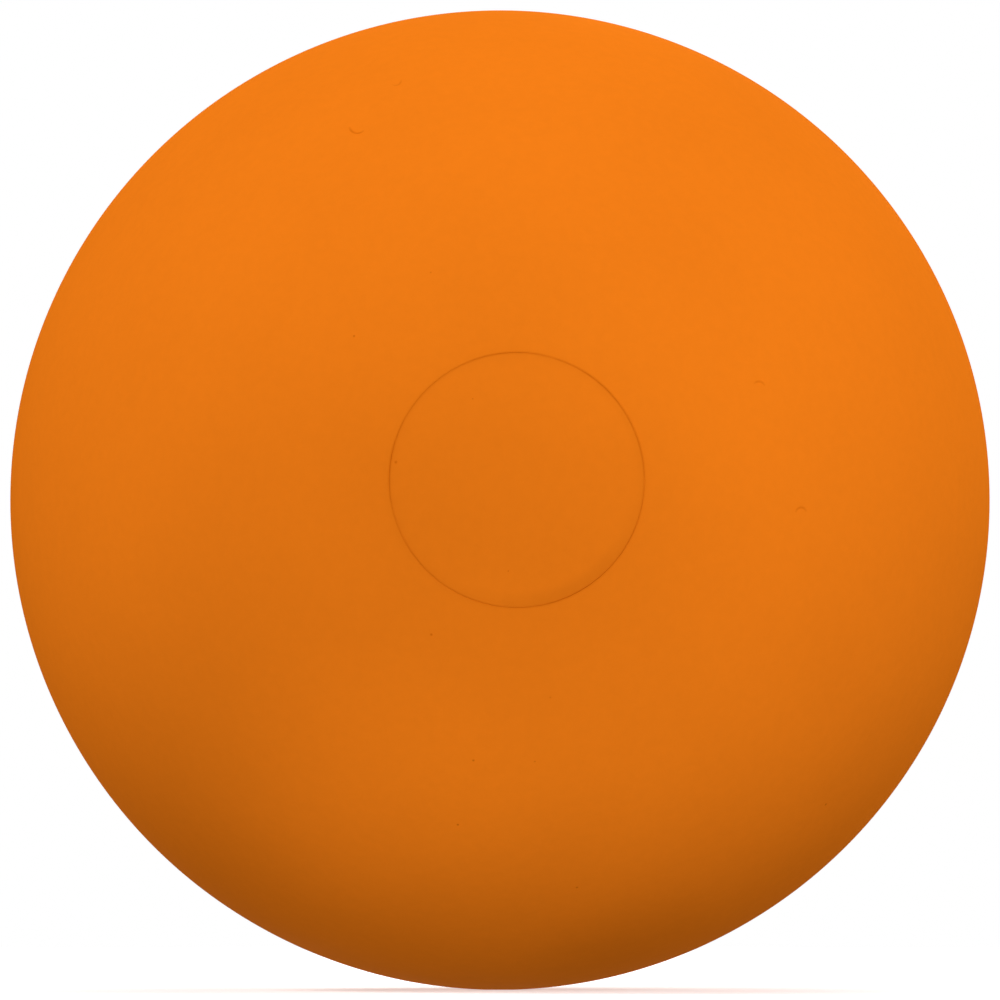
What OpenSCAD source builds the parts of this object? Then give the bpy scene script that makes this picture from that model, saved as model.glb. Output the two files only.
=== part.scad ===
// A lacrosse ball of solid moulded rubber. A small round disc of the same rubber is let in
// flush on its front, and a hairline ring shows where the two pieces meet.
//
// Frame: the origin is the ball's centre, +Z is up, the disc faces -Y, and +X is to the right
// of someone who faces the disc. Lengths are in millimetres.

/* [Ball] */
// Diameter of the ball
ball_d = 63.5; // [62.7:0.1:64.7]

/* [Badge disc] */
// Diameter of the disc, to the middle of the ring line round it
badge_d = 15.8; // [10:0.1:24]
// Height of the disc's side wall, from the floor of its seat up to the ball's surface
badge_wall_h = 1.25; // [0.8:0.05:3]

/* [Ring line] */
// Width of the ring line where it opens on the surface
line_w = 0.14; // [0.06:0.01:0.4]
// Depth of the ring line
line_depth = 0.1; // [0.04:0.01:0.3]

/* [Hidden] */
$fn = 180;

rubber = [0.87, 0.44, 0.08];

ball_r = ball_d / 2;
badge_r = badge_d / 2;
// Distances from the ball's centre along the disc's axis: to the ring on the ball's surface,
// and to the flat floor of the seat
rim_h = sqrt(ball_r * ball_r - badge_r * badge_r);
seat_floor_h = rim_h - badge_wall_h;

// Turns a shape that is built along +Z to face the front, -Y
module face_front() {
    rotate([90, 0, 0])
        children();
}

// The round space that the disc fills, drawn out past the ball's surface
module seat_bore() {
    translate([0, 0, seat_floor_h])
        cylinder(h = ball_r, r = badge_r);
}

// The V-shaped ring line, centred on the joint between the two pieces. The V is drawn to twice
// its depth, so that it also clears the ball's slope on the side nearer the disc's middle.
module ring_line() {
    rotate_extrude()
        polygon([
            [badge_r, rim_h - line_depth],
            [badge_r + line_w, rim_h + line_depth],
            [badge_r - line_w, rim_h + line_depth]
        ]);
}

// The solid ball, with the seat for the disc and its half of the ring line
module ball_body() {
    color(rubber)
        face_front()
            difference() {
                sphere(r = ball_r);
                seat_bore();
                ring_line();
            }
}

// The disc: the part of the ball that fills the seat, with its half of the ring line
module badge_disc() {
    color(rubber)
        face_front()
            difference() {
                intersection() {
                    sphere(r = ball_r);
                    seat_bore();
                }
                ring_line();
            }
}

ball_body();
badge_disc();
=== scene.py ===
"""The looks of a lacrosse ball: its moulded rubber, the hairline ring round its flush disc, and the small
marks that its mould left. The frame is the ball's own, in metres: the origin is the ball's centre, +Z is up
and the disc faces -Y.
"""

import math

import bmesh
import bpy
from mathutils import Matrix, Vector


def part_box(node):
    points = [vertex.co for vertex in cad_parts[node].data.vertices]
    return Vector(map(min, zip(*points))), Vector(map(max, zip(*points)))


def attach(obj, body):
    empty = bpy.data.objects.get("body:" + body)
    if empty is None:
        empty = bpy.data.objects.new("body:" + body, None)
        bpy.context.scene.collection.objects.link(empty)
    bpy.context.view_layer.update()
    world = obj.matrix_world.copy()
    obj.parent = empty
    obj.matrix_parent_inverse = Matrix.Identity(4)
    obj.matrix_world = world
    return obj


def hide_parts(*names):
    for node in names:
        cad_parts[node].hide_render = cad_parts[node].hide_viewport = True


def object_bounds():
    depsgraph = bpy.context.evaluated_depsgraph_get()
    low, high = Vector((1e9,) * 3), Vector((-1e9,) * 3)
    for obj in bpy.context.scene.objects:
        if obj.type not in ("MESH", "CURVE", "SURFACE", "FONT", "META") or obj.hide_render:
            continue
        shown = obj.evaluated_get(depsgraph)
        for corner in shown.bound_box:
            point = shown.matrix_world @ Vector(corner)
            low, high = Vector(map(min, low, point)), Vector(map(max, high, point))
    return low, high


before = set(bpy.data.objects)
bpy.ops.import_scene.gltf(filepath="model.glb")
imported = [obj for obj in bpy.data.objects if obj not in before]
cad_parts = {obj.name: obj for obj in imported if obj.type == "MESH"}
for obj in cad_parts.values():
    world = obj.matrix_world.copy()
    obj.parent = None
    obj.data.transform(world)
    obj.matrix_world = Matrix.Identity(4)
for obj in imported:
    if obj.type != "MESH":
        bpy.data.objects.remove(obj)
cad_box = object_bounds()

MM = 0.001

# Driving sizes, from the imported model. Heights are measured from the ball's centre, along the disc's axis.
disc_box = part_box("badge_disc")
BALL_R = (cad_box[1].y - cad_box[0].y) / 2
BADGE_R = (disc_box[1].x - disc_box[0].x) / 2
SEAT_FLOOR_H = -disc_box[1].y

# Clock angles below are seen from the front: 0 is to the right and 90 degrees is up.

# The ring line: the ball and the disc meet at a crack a hair wide, and each has a lip that dips towards it.
# Widths are from the crack outward, on each side.
JOINT_GAP = 0.006 * MM
LIP_W = 0.08 * MM
LIP_DROP = 0.016 * MM
LIP_STEPS = 6
# Dirt and painted shade in the line, where the crack and its lips lie in shade, and a faint painted shade on
# each side of it. The line's dirt and shade is the share of its own colour that it gives the rubber, and the
# painted shade beside it is the share by which the rubber is darker.
DIRT_AND_SHADE_W = 0.15 * MM
LINE_DIRT_AND_SHADE = 0.4
PAINTED_SHADE_W = 0.6 * MM
PAINTED_SHADE_INSIDE = 0.035
PAINTED_SHADE_OUTSIDE = 0.016
# Painted shade on the walls and the floor of the disc's seat, inside the crack between the pieces
SEAT_PAINTED_SHADE = 0.6
# The line is stronger and weaker by turns round the ring, as a sum of waves
LINE_MEAN = 0.77
LINE_WAVES = [
    # waves round the ring, share, phase (degrees)
    (1, 0.12, 80),
    (2, 0.07, 60),
    (3, 0.075, 152),
    (5, 0.079, 122),
    (6, 0.063, -90),
    (9, 0.085, 121),
]

# The disc's face rolls down towards the ring, and painted shade darkens it there
ROLL_W = 1.1 * MM
ROLL_DROP = 0.03 * MM
ROLL_PAINTED_SHADE = 0.068
# Share of the roll's fall from which its painted shade is full
ROLL_PAINTED_SHADE_FULL = 0.59
# Both are greatest at this clock angle, and nowhere under the least share of that. More focus is narrower.
ROLL_CLOCK = math.radians(300)
ROLL_LEAST = 0.12
ROLL_FOCUS = 10

# The mould's parting line, a worn ridge on the great circle square to the disc's axis
PARTING_H = 0.02 * MM
PARTING_HALF_W = 0.12 * MM
PARTING_MEAN = 0.65
PARTING_WAVES = [
    (3, 0.2, 50),
    (11, 0.15, -30),
]

# The mesh is turned round the disc's axis in so many segments. Its rings lie a fine step apart by the lines,
# and the steps grow away from them up to the coarse step.
SEGMENTS = 320
FINE_STEP = 0.03 * MM
COARSE_STEP = 0.5 * MM
STEP_GROWTH = 0.22
# Under a mark the faces are cut down to this size, out to so many of its half widths
MARK_STEP = 0.03 * MM
MARK_SPREAD = 1.3
# A mark has no effect past so many of its half widths
MARK_REACH = 2
# A point this much nearer to the ball's centre than its surface belongs to the seat
SURFACE_SLACK = 0.001 * MM

# Vent marks: short arcs, darkened with painted shadow. A place on the ball is given by its distances across
# and up from the disc's axis, in millimetres, on the front or the back half.
VENT_HALF_W = 0.115 * MM
VENT_DEPTH = 0.02 * MM
VENT_PAINTED_SHADOW = 0.73
VENT_STEPS = 12
# How strong an arc's very ends are, next to its middle
VENT_END_SHARE = 0.5
VENTS = [
    # half, across, up, radius (mm), clock angle at the start and the end, strength at the start and the end
    ("front", -9.66, 22.75, 0.49, -173, -47, 0.75, 1.0),
    ("front", -7.18, 25.88, 0.34, -115, 0, 0.5, 0.5),
    ("front", 15.21, 5.85, 0.46, 38, 127, 0.6, 0.65),
    ("front", 17.91, -1.86, 0.36, 29, 164, 0.57, 0.66),
    ("back", -14.5, 11.95, 0.42, 35, 165, 0.8, 0.6),
    ("back", 8.45, -19.2, 0.45, -165, -20, 1.0, 0.8),
    ("back", 17.35, 15.9, 0.4, -180, -60, 0.6, 0.6),
    ("back", -2.95, -4.6, 0.35, -160, -10, 0.5, 0.9),
]

# Pinholes where a bubble or a grain of dust met the mould, with dirt in them. The aspect is the share of its
# radius that a pinhole is deep.
PINHOLE_ASPECT = 0.1
PINHOLE_DIRT = 0.94
PINHOLES = [
    # half, across, up, radius (mm)
    ("front", -5.26, 12.99, 0.069),
    ("front", -10.03, 9.01, 0.104),
    ("front", -7.48, 1.09, 0.127),
    ("front", -2.74, 5.0, 0.064),
    ("front", -0.54, -5.65, 0.072),
    ("front", -5.26, -9.55, 0.116),
    ("front", 2.15, -13.4, 0.066),
    ("front", -2.55, -17.28, 0.11),
    ("front", 1.27, -17.34, 0.07),
    ("front", -3.42, -21.25, 0.113),
    ("front", 4.21, -25.16, 0.124),
    ("front", 20.21, -19.89, 0.138),
    ("back", 6.4, 8.8, 0.07),
    ("back", -18.0, -7.5, 0.1),
    ("back", -8.8, 24.0, 0.08),
    ("back", 12.7, -9.1, 0.06),
]

# Broad soft patches where the rubber is lighter or darker: on the front they are painted light and painted
# shade, and on the back an uneven tone
TONE_AND_PAINTED_LIGHT_PATCHES = [
    # half, across, up, radius (mm), share lighter
    ("front", -8.4, -19.6, 13.6, 0.09),
    ("front", -12.1, -4.3, 16.5, -0.04),
    ("front", 2.4, -4.3, 16.5, -0.08),
    ("front", 8.6, -19.5, 17.8, 0.04),
    ("front", 7.3, -28.6, 8.0, -0.08),
    ("back", 9.5, 13.0, 17.0, -0.04),
    ("back", -12.0, -11.0, 16.0, 0.04),
]


def on_ball(half, across, up):
    """The point of the ball's surface at that distance across and up from the disc's axis."""
    x = across * MM
    z = up * MM
    depth = math.sqrt(BALL_R ** 2 - x ** 2 - z ** 2)
    return Vector((x, -depth if half == "front" else depth, z))


def from_axis(point):
    """The point's distance from the disc's axis."""
    return math.hypot(point.x, point.z)


def clock_of(point):
    """The point's clock angle round the disc's axis."""
    return math.atan2(point.z, point.x)


def smooth_step(share):
    """0 below 0, 1 above 1, and a smooth rise between them."""
    share = min(1.0, max(0.0, share))
    return share * share * (3 - 2 * share)


def wave_sum(clock, mean, waves):
    """A mean and the waves round a circle, at the clock angle."""
    total = mean
    for count, share, phase in waves:
        total += share * math.cos(count * clock - math.radians(phase))
    return total


def bowl(distance, half_width):
    """1 at the middle of a soft-edged dent and 0 past its half width."""
    share = min(1.0, distance / half_width)
    return (1 - share * share) ** 2


class VentMark:
    """A shallow arc pressed into the surface. reach is how far from its centre it has any effect."""

    half_width = VENT_HALF_W
    full_depth = VENT_DEPTH
    # A vent mark's darkening is painted shadow
    full_dirt_and_shade = VENT_PAINTED_SHADOW

    def __init__(self, half, across, up, radius, start_clock, end_clock, start_strength, end_strength):
        self.line = []
        for i in range(VENT_STEPS + 1):
            clock = math.radians(start_clock + (end_clock - start_clock) * i / VENT_STEPS)
            self.line.append(on_ball(half, across + radius * math.cos(clock), up + radius * math.sin(clock)))
        self.start_strength = start_strength
        self.end_strength = end_strength
        self.centre = self.line[VENT_STEPS // 2]
        furthest = max((point - self.centre).length for point in self.line)
        self.reach = furthest + MARK_REACH * self.half_width

    def nearest(self, point):
        """The distance from the arc, and how far along it that is, from 0 to 1."""
        found = []
        for i, (p, q) in enumerate(zip(self.line, self.line[1:])):
            step = q - p
            share = min(1.0, max(0.0, (point - p).dot(step) / step.length_squared))
            found.append(((point - p - step * share).length, (i + share) / VENT_STEPS))
        return min(found)

    def gap(self, point):
        """The distance from the middle of the arc's stroke."""
        return self.nearest(point)[0]

    def share(self, point):
        """How much of a full mark there is at the point, from 0 to about 1."""
        gap, along = self.nearest(point)
        strength = self.start_strength + (self.end_strength - self.start_strength) * along
        # Full over the middle half of the arc, and less towards both ends
        strength *= 1 - (1 - VENT_END_SHARE) * smooth_step(4 * abs(along - 0.5) - 1)
        return strength * bowl(gap, self.half_width)


class Pinhole:
    """A tiny round dent."""

    full_dirt_and_shade = PINHOLE_DIRT

    def __init__(self, half, across, up, radius):
        self.centre = on_ball(half, across, up)
        self.half_width = radius * MM
        self.full_depth = PINHOLE_ASPECT * self.half_width
        self.reach = MARK_REACH * self.half_width

    def gap(self, point):
        """The distance from the dent's middle."""
        return (point - self.centre).length

    def share(self, point):
        """How much of a full dent there is at the point, from 0 to 1."""
        return bowl(self.gap(point), self.half_width)


def marks_on(disc):
    """The marks on the disc, or else those on the ball round it."""
    marks = [VentMark(*values) for values in VENTS] + [Pinhole(*values) for values in PINHOLES]
    return [mark for mark in marks if disc == (mark.centre.y < 0 and from_axis(mark.centre) < BADGE_R)]


def rubber_tone_and_painted_light(point):
    """How light the rubber is at the point, where 1 is its usual tone. Its patches are painted light and
    shade on the front, and uneven tone on the back.
    """
    tone_and_painted_light = 1.0
    for half, across, up, radius, lighter in TONE_AND_PAINTED_LIGHT_PATCHES:
        tone_and_painted_light += lighter * bowl((point - on_ball(half, across, up)).length, radius * MM)
    return tone_and_painted_light


def lip_tilts(wall_r, side):
    """The tilts of the rings from the wall to the edge of the lip's dip, close together at the wall. A ring's
    tilt is its angle from the disc's axis, at the ball's centre. side is 1 for the ball, which lies outside
    the wall, and -1 for the disc.
    """
    tilts = []
    for i in range(LIP_STEPS + 1):
        turn = math.pi / 2 * i / LIP_STEPS
        tilts.append(math.asin((wall_r + side * LIP_W * (1 - math.cos(turn))) / BALL_R))
    return tilts


def surface_tilts(start, end, lines):
    """The tilts of the rings from one tilt to another, without the first. They lie close together by the
    lines, which are tilts too, and further apart between them.
    """
    way = 1 if end > start else -1
    length = abs(end - start) * BALL_R
    along = [0.0]
    while along[-1] < length:
        tilt = start + way * along[-1] / BALL_R
        nearest = min(abs(tilt - line) for line in lines) * BALL_R
        along.append(along[-1] + min(COARSE_STEP, FINE_STEP + STEP_GROWTH * nearest))
    fit = length / along[-1]
    return [start + way * step * fit / BALL_R for step in along[1:]]


def lathe(wall_r, floor_h, tilts):
    """Turns a piece round the disc's axis: a flat floor out to the wall, and the ball's surface from the wall
    to the far side. Gives a list of points and a list of faces, which look outward.
    """
    profile = [(0, floor_h), (wall_r / 2, floor_h), (wall_r, floor_h)]
    profile += [(BALL_R * math.sin(tilt), BALL_R * math.cos(tilt)) for tilt in tilts]
    points = [Vector((0, -floor_h, 0)), Vector((0, -profile[-1][1], 0))]
    rings = []
    for radius, height in profile[1:-1]:
        rings.append(range(len(points), len(points) + SEGMENTS))
        for i in range(SEGMENTS):
            clock = 2 * math.pi * i / SEGMENTS
            points.append(Vector((radius * math.cos(clock), -height, radius * math.sin(clock))))
    faces = []
    for i in range(SEGMENTS):
        j = (i + 1) % SEGMENTS
        faces.append((0, rings[0][i], rings[0][j]))
        faces.append((1, rings[-1][j], rings[-1][i]))
        for inner, outer in zip(rings, rings[1:]):
            faces.append((inner[i], outer[i], outer[j], inner[j]))
    if tilts[-1] < tilts[0]:
        faces = [face[::-1] for face in faces]
    return points, faces


def cut(triangle, halves):
    """The triangles that one becomes where halves gives the middle points of some of its edges."""
    a, b, c = triangle
    ab = halves.get(frozenset((a, b)))
    bc = halves.get(frozenset((b, c)))
    ca = halves.get(frozenset((c, a)))
    if None not in (ab, bc, ca):
        return [(a, ab, ca), (b, bc, ab), (c, ca, bc), (ab, bc, ca)]
    for p, q, r, middle in ((a, b, c, ab), (b, c, a, bc), (c, a, b, ca)):
        if middle is not None:
            return cut((p, middle, r), halves) + cut((middle, q, r), halves)
    return [triangle]


def refine(points, faces, mark):
    """Gives the faces, with those under the mark cut into small triangles. The new points lie on the ball,
    and are added to the points.
    """
    # A face is chosen by its first corner, which may lie that much further off than its nearest part
    margin = mark.reach + 2 * COARSE_STEP
    near = [f for f in faces if (points[f[0]] - mark.centre).length < margin]
    patch = [(f[0], f[i], f[i + 1]) for f in near for i in range(1, len(f) - 1)]
    while True:
        edges = {frozenset(pair) for a, b, c in patch for pair in ((a, b), (b, c), (c, a))}
        halves = {}
        for edge in sorted(edges, key=sorted):
            p, q = (points[i] for i in edge)
            size = (p - q).length
            middle = (p + q) / 2
            if size > MARK_STEP and mark.gap(middle) < MARK_SPREAD * mark.half_width + size / 2:
                halves[edge] = len(points)
                points.append(middle * (BALL_R / middle.length))
        if not halves:
            break
        patch = [piece for triangle in patch for piece in cut(triangle, halves)]
    chosen = set(near)
    return [f for f in faces if f not in chosen] + patch


def ring_line(point, wall_r):
    """How far the surface sinks towards the ring line at the point, the dirt and painted shade in the line
    there, and the painted shade beside it.
    """
    gap = abs(from_axis(point) - wall_r)
    if point.y > 0 or gap > PAINTED_SHADE_W:
        return 0.0, 0.0, 0.0
    strength = wave_sum(clock_of(point), LINE_MEAN, LINE_WAVES)
    rise = min(1.0, gap / LIP_W)
    sink = LIP_DROP * (1 - math.sqrt(1 - (1 - rise) ** 2))
    # The line's darkening is partly dirt and partly painted shade in the crack
    dirt_and_painted_shade = LINE_DIRT_AND_SHADE * (1 - smooth_step(gap / DIRT_AND_SHADE_W))
    # Painted shade on each side of the line, where the lips dip towards the crack
    painted_shade = PAINTED_SHADE_INSIDE if from_axis(point) < BADGE_R else PAINTED_SHADE_OUTSIDE
    return strength * sink, strength * dirt_and_painted_shade, painted_shade * (1 - smooth_step(gap / PAINTED_SHADE_W))


def parting_line(point):
    """How far the surface sinks at the point, which is below 0 on the parting line's ridge, and the painted
    shade, which is none here.
    """
    height = PARTING_H * wave_sum(clock_of(point), PARTING_MEAN, PARTING_WAVES)
    return -height * bowl(abs(point.y), PARTING_HALF_W), 0.0


def rolled_edge(point):
    """How far the disc's face has rolled down at the point, and the painted shade there."""
    fall = max(0.0, 1 - (BADGE_R - from_axis(point)) / ROLL_W)
    lean = 0.5 + 0.5 * math.cos(clock_of(point) - ROLL_CLOCK)
    at_edge = ROLL_LEAST + (1 - ROLL_LEAST) * lean ** ROLL_FOCUS
    # Painted shade on the rolled face, where it turns down and away from the light
    return ROLL_DROP * at_edge * fall ** 2, ROLL_PAINTED_SHADE * at_edge * smooth_step(fall / ROLL_PAINTED_SHADE_FULL)


def make_piece(name, node, material, wall_r, floor_h, tilts, marks, shape):
    """Makes the piece that stands for a CAD node. shape gives how far its surface sinks at a point and the
    painted shade there, apart from the ring line and the marks. The dirt with painted shade, and the tone
    with painted light and shade, go to the material as attributes.
    """
    points, faces = lathe(wall_r, floor_h, tilts)
    for mark in marks:
        faces = refine(points, faces, mark)
    grime_and_painted_shade = []
    tone_and_painted_light = []
    for i, point in enumerate(points):
        if point.length < BALL_R - SURFACE_SLACK:
            # The seat's walls and floor, inside the crack, get painted shade
            grime_and_painted_shade.append(SEAT_PAINTED_SHADE)
            tone_and_painted_light.append(1.0)
            continue
        shape_sink, shape_painted_shade = shape(point)
        line_sink, dirt_and_painted_shade, line_painted_shade = ring_line(point, wall_r)
        sink = shape_sink + line_sink
        for mark in marks:
            if (point - mark.centre).length < mark.reach:
                share = mark.share(point)
                sink += mark.full_depth * share
                # Pinholes add dirt, and vent marks add painted shadow
                dirt_and_painted_shade = max(dirt_and_painted_shade, mark.full_dirt_and_shade * share)
        grime_and_painted_shade.append(dirt_and_painted_shade)
        # The tone carries painted light and shade from the patches, the rolled edge and the line's sides
        tone_and_painted_light.append(rubber_tone_and_painted_light(point) * (1 - shape_painted_shade) * (1 - line_painted_shade))
        points[i] = point * (1 - sink / BALL_R)

    mesh = bpy.data.meshes.new(name)
    mesh.from_pydata(points, [], faces)
    mesh.shade_smooth()
    mesh.attributes.new("grime_and_painted_shade", "FLOAT", "POINT").data.foreach_set("value", grime_and_painted_shade)
    mesh.attributes.new("tone_and_painted_light", "FLOAT", "POINT").data.foreach_set("value", tone_and_painted_light)
    mesh.materials.append(material)
    piece = bpy.data.objects.new(name, mesh)
    bpy.context.scene.collection.objects.link(piece)
    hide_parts(node)
    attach(piece, "root")


def rubber_ball(material):
    """The rubber ball, with the seat for the disc, the parting line, the vent marks and the pinholes."""
    wall_r = BADGE_R + JOINT_GAP / 2
    tilts = lip_tilts(wall_r, 1)
    tilts += surface_tilts(tilts[-1], math.pi, [tilts[-1], math.pi / 2])
    marks = marks_on(disc=False)
    make_piece("rubber_ball", "ball_body", material, wall_r, SEAT_FLOOR_H, tilts, marks, parting_line)


def flush_disc(material):
    """The flush disc inside the ring line, with the pinholes on it."""
    wall_r = BADGE_R - JOINT_GAP / 2
    tilts = lip_tilts(wall_r, -1)
    tilts += surface_tilts(tilts[-1], 0, [tilts[-1]])
    floor_h = SEAT_FLOOR_H + JOINT_GAP
    marks = marks_on(disc=True)
    make_piece("flush_disc", "badge_disc", material, wall_r, floor_h, tilts, marks, rolled_edge)


# The rubber's noise patterns: waves per metre, levels of finer detail, and how strong each level is next to
# the one before it
CLOUDS = (90, 3, 0.5)
SPECKLES = (1400, 3, 0.6)
DULLNESS = (260, 2, 0.5)
GRAIN = (2600, 2, 0.6)
SWELL = (330, 2, 0.5)
# The range that most of a noise's values lie in
NOISE_LOW = 0.3
NOISE_HIGH = 0.7
GRAIN_H = 0.0015 * MM
SWELL_H = 0.006 * MM
# Colours are linear
CLOUD_DARK = (0.85, 0.1965, 0.0081, 1)
CLOUD_LIGHT = (0.88, 0.2035, 0.0084, 1)
SPECKLE_TINT = (0.975, 0.97, 0.97, 1)
# Colour of the dirt in the pinholes, and of the dirt and painted shade in the line, the seat and the vent
# marks
DIRT_AND_SHADE_COLOUR = (0.62, 0.11, 0, 1)
# The rubber is dead matt
GLOSS = 0.0002
LEAST_ROUGHNESS = 0.75
MOST_ROUGHNESS = 0.85


def rubber_material():
    """Matt orange rubber: a saturated colour with faint mottling, and the fine grain of the mould."""
    material = bpy.data.materials.new("orange_rubber")
    material.use_nodes = True
    tree = material.node_tree
    shader = tree.nodes["Principled BSDF"]
    shader.inputs["Specular IOR Level"].default_value = GLOSS
    place = tree.nodes.new("ShaderNodeTexCoord")

    def noise(scale, detail, roughness):
        node = tree.nodes.new("ShaderNodeTexNoise")
        node.inputs["Scale"].default_value = scale
        node.inputs["Detail"].default_value = detail
        node.inputs["Roughness"].default_value = roughness
        tree.links.new(place.outputs["Object"], node.inputs["Vector"])
        return node.outputs["Fac"]

    def spread(value, low, high):
        """Takes a noise's middle range to a range from low to high."""
        node = tree.nodes.new("ShaderNodeMapRange")
        node.inputs["From Min"].default_value = NOISE_LOW
        node.inputs["From Max"].default_value = NOISE_HIGH
        node.inputs["To Min"].default_value = low
        node.inputs["To Max"].default_value = high
        tree.links.new(value, node.inputs["Value"])
        return node.outputs["Result"]

    def attribute(name):
        node = tree.nodes.new("ShaderNodeAttribute")
        node.attribute_name = name
        return node

    def mix(kind, factor, first, second):
        """Mixes two colours, each a value or another node's output."""
        node = tree.nodes.new("ShaderNodeMix")
        node.data_type = "RGBA"
        node.blend_type = kind
        if isinstance(factor, float):
            node.inputs["Factor"].default_value = factor
        else:
            tree.links.new(factor, node.inputs["Factor"])
        for socket, value in (("A", first), ("B", second)):
            target = [s for s in node.inputs if s.name == socket and s.type == "RGBA"][0]
            if isinstance(value, tuple):
                target.default_value = value
            else:
                tree.links.new(value, target)
        return [s for s in node.outputs if s.type == "RGBA"][0]

    def bump(height, distance, below):
        """Adds a bump of that height in metres to the normal of the bump below it, if there is one."""
        node = tree.nodes.new("ShaderNodeBump")
        node.inputs["Strength"].default_value = 1.0
        node.inputs["Distance"].default_value = distance
        tree.links.new(height, node.inputs["Height"])
        if below is not None:
            tree.links.new(below, node.inputs["Normal"])
        return node.outputs["Normal"]

    cloud = spread(noise(*CLOUDS), 0.0, 1.0)
    speckle = spread(noise(*SPECKLES), 0.0, 1.0)
    base = mix("MIX", cloud, CLOUD_DARK, CLOUD_LIGHT)
    base = mix("MIX", speckle, base, mix("MULTIPLY", 1.0, base, SPECKLE_TINT))
    # The tone attribute brings painted light and shade, and the uneven tone on the back
    base = mix("MULTIPLY", 1.0, base, attribute("tone_and_painted_light").outputs["Color"])
    # Dirt, and painted shade in the line, the seat and the vent marks, from the grime attribute
    base = mix("MIX", attribute("grime_and_painted_shade").outputs["Fac"], base, DIRT_AND_SHADE_COLOUR)
    tree.links.new(base, shader.inputs["Base Color"])
    dullness = spread(noise(*DULLNESS), LEAST_ROUGHNESS, MOST_ROUGHNESS)
    tree.links.new(dullness, shader.inputs["Roughness"])
    grain = bump(noise(*GRAIN), GRAIN_H, None)
    swell = bump(noise(*SWELL), SWELL_H, grain)
    tree.links.new(swell, shader.inputs["Normal"])
    return material


# The photograph's view: a little to the left of the disc's axis and a little below it
VIEW_AZIMUTH = math.radians(-1.94)
VIEW_ELEVATION = math.radians(-2.31)
VIEW_DISTANCE = 0.645
SENSOR_W = 36.0
NEAREST_SEEN = 0.01
FURTHEST_SEEN = 100
# Share of the picture's width that the ball's outline takes
OUTLINE_SHARE = 0.9794

WHITE = (1, 1, 1, 1)

# The light that gives the ball the photograph's shading: bright on top, with a soft lobe at each side, and
# dark below. The last two softboxes light the back, and the ball's outline from behind.
LIGHT_DISTANCE = 1.4
SOFTBOXES = [
    # name, azimuth and elevation (degrees), size (m), power (W)
    ("front", -20, -2, 1.0, 13.3),
    ("left", -104, 40, 0.5, 9.8),
    ("right", 48, 6, 1.0, 7.25),
    ("right_back", 95, 25, 1.1, 8.25),
    ("overhead", 138, 70, 1.1, 7.9),
    ("behind", 170, 30, 0.7, 5.05),
    ("behind_low", 182, -22, 0.5, 8.2),
]
# Strength of the even light from all round
FILL = 0.131

# The floor is solid near the ball and has faded into the backdrop by its edge
FLOOR_SOLID_R = 0.25
FLOOR_R = 0.6
FLOOR_SEGMENTS = 96
FLOOR_COLOUR = (0.85, 0.85, 0.85, 1)
FLOOR_ROUGHNESS = 0.8
FLOOR_GLOW = 0.5
BACKDROP_R = 3.0
BACKDROP_CUTS = 4
BACKDROP_GLOW = 1.0


def direction(azimuth, elevation):
    """From the ball towards something at that azimuth and elevation. Azimuth 0 is the front, -Y."""
    return Vector((
        math.sin(azimuth) * math.cos(elevation),
        -math.cos(azimuth) * math.cos(elevation),
        math.sin(elevation),
    ))


def make_camera():
    """A long lens that sees the ball as large in its frame as the photograph does."""
    outline_tan = math.tan(math.asin(BALL_R / VIEW_DISTANCE))
    data = bpy.data.cameras.new("camera")
    data.sensor_width = SENSOR_W
    data.lens = SENSOR_W / 2 * OUTLINE_SHARE / outline_tan
    data.clip_start = NEAREST_SEEN
    data.clip_end = FURTHEST_SEEN
    camera = bpy.data.objects.new("camera", data)
    bpy.context.scene.collection.objects.link(camera)
    back = direction(VIEW_AZIMUTH, VIEW_ELEVATION)
    camera.location = back * VIEW_DISTANCE
    camera.rotation_mode = "QUATERNION"
    camera.rotation_quaternion = (-back).to_track_quat("-Z", "Y")
    bpy.context.scene.camera = camera


def softbox(name, azimuth, elevation, size, power):
    """A square soft light that faces the ball."""
    data = bpy.data.lights.new(name, "AREA")
    data.shape = "SQUARE"
    data.size = size
    data.energy = power
    light = bpy.data.objects.new(name, data)
    light.visible_camera = False
    bpy.context.scene.collection.objects.link(light)
    away = direction(math.radians(azimuth), math.radians(elevation))
    light.location = away * LIGHT_DISTANCE
    light.rotation_mode = "QUATERNION"
    light.rotation_quaternion = (-away).to_track_quat("-Z", "Y")


def make_lights():
    """Plain soft studio light, from the softboxes and an even fill."""
    for name, azimuth, elevation, size, power in SOFTBOXES:
        softbox(name, azimuth, elevation, size, power)
    world = bpy.data.worlds.new("fill")
    world.use_nodes = True
    world.node_tree.nodes["Background"].inputs["Color"].default_value = WHITE
    world.node_tree.nodes["Background"].inputs["Strength"].default_value = FILL
    bpy.context.scene.world = world


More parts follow.
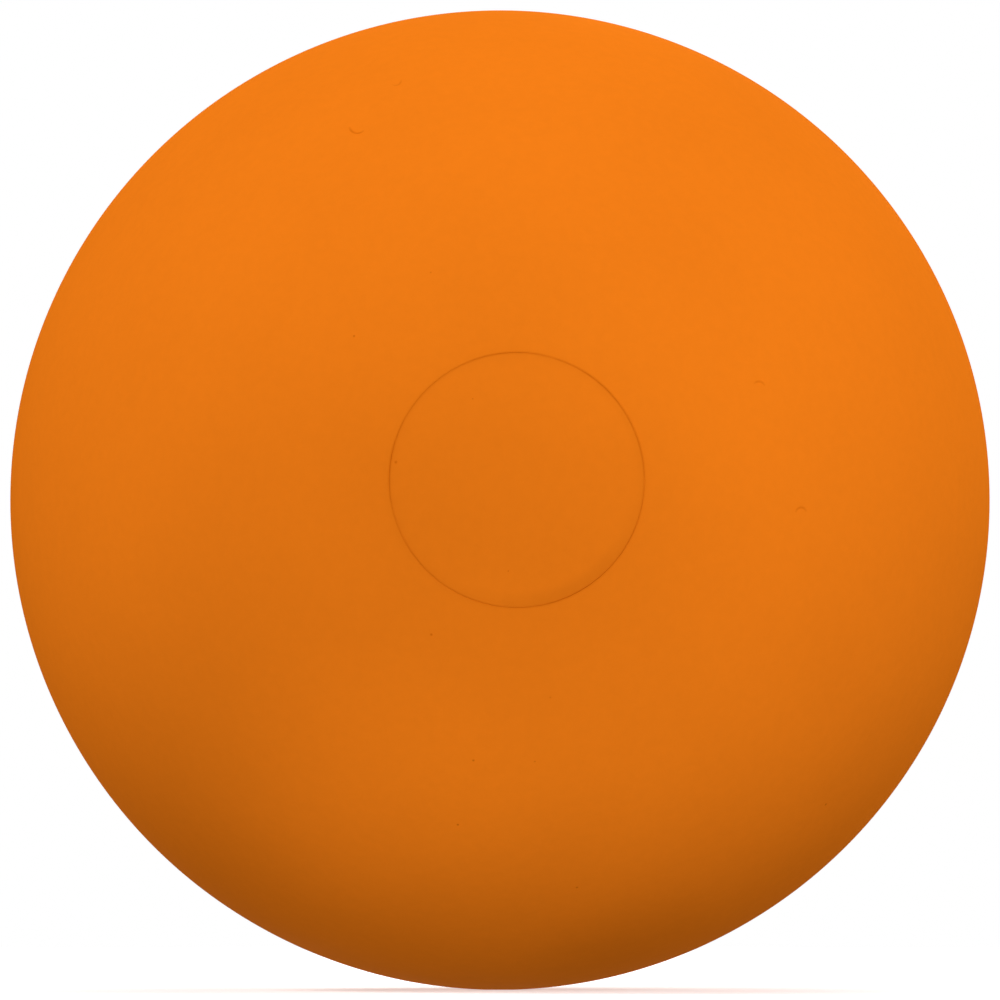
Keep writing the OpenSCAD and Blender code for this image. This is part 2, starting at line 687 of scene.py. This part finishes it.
def floor_material():
    """A white light table that fades out away from the ball, and that is clear from below."""
    material = bpy.data.materials.new("light_table")
    material.use_nodes = True
    tree = material.node_tree
    table = tree.nodes["Principled BSDF"]
    table.inputs["Base Color"].default_value = FLOOR_COLOUR
    table.inputs["Roughness"].default_value = FLOOR_ROUGHNESS
    table.inputs["Specular IOR Level"].default_value = 0.0
    table.inputs["Emission Color"].default_value = WHITE
    table.inputs["Emission Strength"].default_value = FLOOR_GLOW
    place = tree.nodes.new("ShaderNodeTexCoord")
    distance = tree.nodes.new("ShaderNodeVectorMath")
    distance.operation = "LENGTH"
    tree.links.new(place.outputs["Object"], distance.inputs[0])
    fade = tree.nodes.new("ShaderNodeMapRange")
    fade.interpolation_type = "SMOOTHSTEP"
    fade.inputs["From Min"].default_value = FLOOR_SOLID_R
    fade.inputs["From Max"].default_value = FLOOR_R
    tree.links.new(distance.outputs["Value"], fade.inputs["Value"])
    side = tree.nodes.new("ShaderNodeNewGeometry")
    clear_share = tree.nodes.new("ShaderNodeMath")
    clear_share.operation = "MAXIMUM"
    tree.links.new(fade.outputs["Result"], clear_share.inputs[0])
    tree.links.new(side.outputs["Backfacing"], clear_share.inputs[1])
    clear = tree.nodes.new("ShaderNodeBsdfTransparent")
    blend = tree.nodes.new("ShaderNodeMixShader")
    tree.links.new(clear_share.outputs["Value"], blend.inputs["Fac"])
    tree.links.new(table.outputs["BSDF"], blend.inputs[1])
    tree.links.new(clear.outputs["BSDF"], blend.inputs[2])
    tree.links.new(blend.outputs["Shader"], tree.nodes["Material Output"].inputs["Surface"])
    return material


def backdrop_material():
    """White paper, lit so that it reads as even white."""
    material = bpy.data.materials.new("white_paper")
    material.use_nodes = True
    tree = material.node_tree
    glow = tree.nodes.new("ShaderNodeEmission")
    glow.inputs["Color"].default_value = WHITE
    glow.inputs["Strength"].default_value = BACKDROP_GLOW
    tree.links.new(glow.outputs["Emission"], tree.nodes["Material Output"].inputs["Surface"])
    return material


def stage_piece(name, bm, height, material):
    """Puts a bmesh into the scene as a part of the stage. Only the camera sees it, so that it throws no light
    back on the ball: the even fill stands for that.
    """
    mesh = bpy.data.meshes.new(name)
    bm.to_mesh(mesh)
    bm.free()
    mesh.materials.append(material)
    piece = bpy.data.objects.new(name, mesh)
    piece.location.z = height
    piece.visible_diffuse = False
    piece.visible_glossy = False
    piece.visible_transmission = False
    piece.visible_shadow = False
    bpy.context.scene.collection.objects.link(piece)


def make_stage():
    """The plain pale floor that the ball rests on, and the white backdrop all round."""
    bm = bmesh.new()
    bmesh.ops.create_circle(bm, cap_ends=True, segments=FLOOR_SEGMENTS, radius=FLOOR_R)
    stage_piece("floor", bm, -BALL_R, floor_material())
    bm = bmesh.new()
    bmesh.ops.create_icosphere(bm, subdivisions=BACKDROP_CUTS, radius=BACKDROP_R)
    stage_piece("backdrop", bm, 0, backdrop_material())


make_camera()
rubber = rubber_material()
rubber_ball(rubber)
flush_disc(rubber)
make_stage()
make_lights()
bpy.context.scene.view_settings.view_transform = "Standard"
